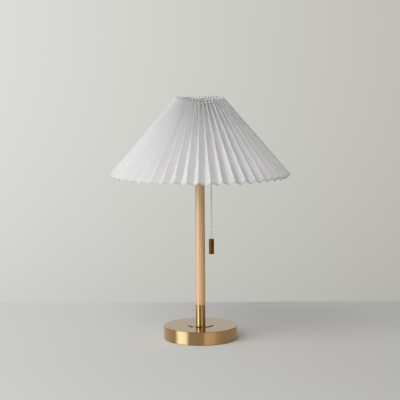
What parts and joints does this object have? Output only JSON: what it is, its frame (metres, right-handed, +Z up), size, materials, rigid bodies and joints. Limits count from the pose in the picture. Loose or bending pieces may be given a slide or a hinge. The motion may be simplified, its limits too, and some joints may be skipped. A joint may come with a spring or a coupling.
{
  "type": "table lamp",
  "caption": "Table lamp with a round weighted base, slim wooden stem, accordion-pleated cone shade and a pull-chain switch.",
  "frame": {"origin": "centre of the base's underside, on the surface it stands on", "axes": "+Z up the stem; the pull chain hangs at +X; -Y is the front; the cable inlet is at the back, +Y"},
  "size_m": [0.353, 0.353, 0.476],
  "materials": {
    "base_brass": "satin brushed",
    "ferrule_brass": "polished",
    "cup_brass": "satin",
    "contact_brass": "plain",
    "chain_brass": "polished",
    "knob_bronze": "dark bronzed",
    "stem_wood": "satin lacquer",
    "shade_cloth": "matt pleated cloth",
    "shade_wire": "white enamel",
    "pad_felt": "felt",
    "zinc_steel": "zinc plated",
    "spring_steel": "bright",
    "iron": "rough cast",
    "holder_plastic": "moulded",
    "bush_plastic": "moulded",
    "switch_plastic": "moulded phenolic",
    "moving_plastic": "nylon",
    "bulb_nickel": "nickel plated",
    "bulb_black": "black glass",
    "bulb_solder": "soldered",
    "bulb_opal": "frosted",
    "bulb_clear": "clear",
    "filament": "phosphor coated"
  },
  "bodies": {
    "lamp": {"base_pad": "pad_felt", "base_plate": "zinc_steel", "base_screws": "zinc_steel", "base_shell": "base_brass", "base_weight": "iron", "cable_bush": "bush_plastic", "rod_nut": "zinc_steel", "rod_washer": "zinc_steel", "threaded_rod": "zinc_steel", "escutcheon": "base_brass", "lower_ferrule": "ferrule_brass", "wood_stem": "stem_wood", "upper_collar": "ferrule_brass", "husk_cup": "cup_brass", "cup_cover": "cup_brass", "holder_cap": "holder_plastic", "holder_body": "holder_plastic", "holder_screw_shell": "contact_brass", "holder_centre_contact": "contact_brass", "holder_terminals": "contact_brass", "switch_housing": "switch_plastic", "switch_cover": "switch_plastic", "switch_cover_screws": "zinc_steel", "switch_axle": "zinc_steel", "lever_spring": "spring_steel", "switch_contacts": "contact_brass", "switch_terminals": "contact_brass", "switch_nipple": "cup_brass", "switch_washer": "cup_brass", "switch_nut": "cup_brass", "bell_mouth": "cup_brass"},
    "pull_chain": {"chain_upper": "chain_brass"},
    "chain_swivel": {"chain_swivel_bead": "chain_brass"},
    "chain_hanging": {"chain_lower": "chain_brass", "pull_knob": "knob_bronze"},
    "lever": {"switch_lever": "moving_plastic"},
    "ratchet": {"ratchet_wheel": "moving_plastic"},
    "bulb": {"bulb_contact": "bulb_solder", "bulb_insulator": "bulb_black", "bulb_cap": "bulb_nickel", "bulb_glass": "bulb_opal", "bulb_stem": "bulb_clear", "bulb_filaments": "filament"},
    "shade": {"shade_fabric": "shade_cloth", "shade_top_ring": "shade_wire", "shade_lower_ring": "shade_wire", "shade_ribs": "shade_wire", "shade_arms": "shade_wire", "shade_fitter_ring": "shade_wire"},
    "ring_nut": {"shade_retaining_ring": "holder_plastic"}
  },
  "joints": [
    {"name": "pull", "type": "slide", "parent": "lamp", "child": "pull_chain", "axis": [0, 0, -1], "range_m": [0, 0.008], "stiffness_N_per_m": 800, "springref_m": -0.004},
    {"name": "swing_front_back", "type": "hinge", "parent": "pull_chain", "child": "chain_swivel", "pos_m": [0.022, 0, 0.3075], "axis": [1, 0, 0], "range_deg": [-30, 30]},
    {"name": "swing_side", "type": "hinge", "parent": "chain_swivel", "child": "chain_hanging", "pos_m": [0.022, 0, 0.3075], "axis": [0, -1, 0], "range_deg": [-2.5, 25]},
    {"name": "lever_turn", "type": "hinge", "parent": "lamp", "child": "lever", "pos_m": [0.012, 0, 0.331], "axis": [0, 1, 0], "range_deg": [0, 46]},
    {"name": "ratchet_turn", "type": "hinge", "parent": "lamp", "child": "ratchet", "pos_m": [0.012, 0, 0.331], "axis": [0, 1, 0], "range_deg": [0, 46]},
    {"name": "bulb_out", "type": "slide", "parent": "lamp", "child": "bulb", "axis": [0, 0, 1], "range_m": [0, 0.14]},
    {"name": "shade_turn", "type": "hinge", "parent": "lamp", "child": "shade", "pos_m": [0, 0, 0.3589], "axis": [0, 0, 1], "continuous": true},
    {"name": "ring_turn", "type": "hinge", "parent": "lamp", "child": "ring_nut", "pos_m": [0, 0, 0.3633], "axis": [0, 0, 1], "range_deg": [0, 1080]}
  ],
  "couplings": [
    {"joint": "lever_turn", "follows": "pull", "rad_per_m": 98.17},
    {"joint": "ratchet_turn", "follows": "pull", "rad_per_m": 98.17}
  ]
}
